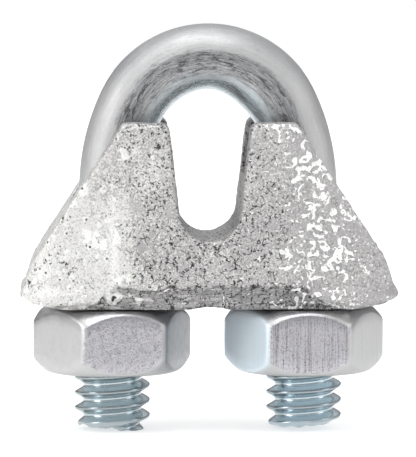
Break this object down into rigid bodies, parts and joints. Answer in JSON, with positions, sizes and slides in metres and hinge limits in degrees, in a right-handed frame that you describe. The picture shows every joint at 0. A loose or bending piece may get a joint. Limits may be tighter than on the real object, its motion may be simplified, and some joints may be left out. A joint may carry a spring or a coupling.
{
  "type": "wire rope clip",
  "caption": "Cast saddle, threaded U-bolt and two hexagon nuts that clamp two parts of a wire rope together.",
  "frame": {"origin": "on the axis of the rope seat, midway between the legs and midway along the saddle", "axes": "+X from the left leg to the right leg, +Y along the rope, +Z from the nuts up to the bow"},
  "size_m": [0.0306, 0.0126, 0.0339],
  "materials": {
    "cast_saddle": "rough malleable iron casting, zinc coated",
    "zinc_bar": "drawn steel bar, satin zinc coated",
    "zinc_nut": "cold-formed steel nut, zinc coated"
  },
  "bodies": {
    "saddle": {"saddle": "cast_saddle"},
    "u_bolt": {"u_bolt": "zinc_bar"},
    "left_nut": {"left_nut": "zinc_nut"},
    "right_nut": {"right_nut": "zinc_nut"}
  },
  "joints": [
    {"name": "u_bolt_slide", "type": "slide", "parent": "saddle", "child": "u_bolt", "axis": [0, 0, 1], "range_m": [-0.00286, 0.00889]},
    {"name": "left_nut_turn", "type": "hinge", "parent": "saddle", "child": "left_nut", "pos_m": [-0.008, 0, -0.00822], "axis": [0, 0, 1], "range_deg": [-2521, 811]},
    {"name": "right_nut_turn", "type": "hinge", "parent": "saddle", "child": "right_nut", "pos_m": [0.008, 0, -0.00822], "axis": [0, 0, 1], "range_deg": [-2521, 811]}
  ],
  "couplings": [
    {"joint": "left_nut_turn", "follows": "u_bolt_slide", "rad_per_m": -4947.4},
    {"joint": "right_nut_turn", "follows": "u_bolt_slide", "rad_per_m": -4947.4}
  ]
}
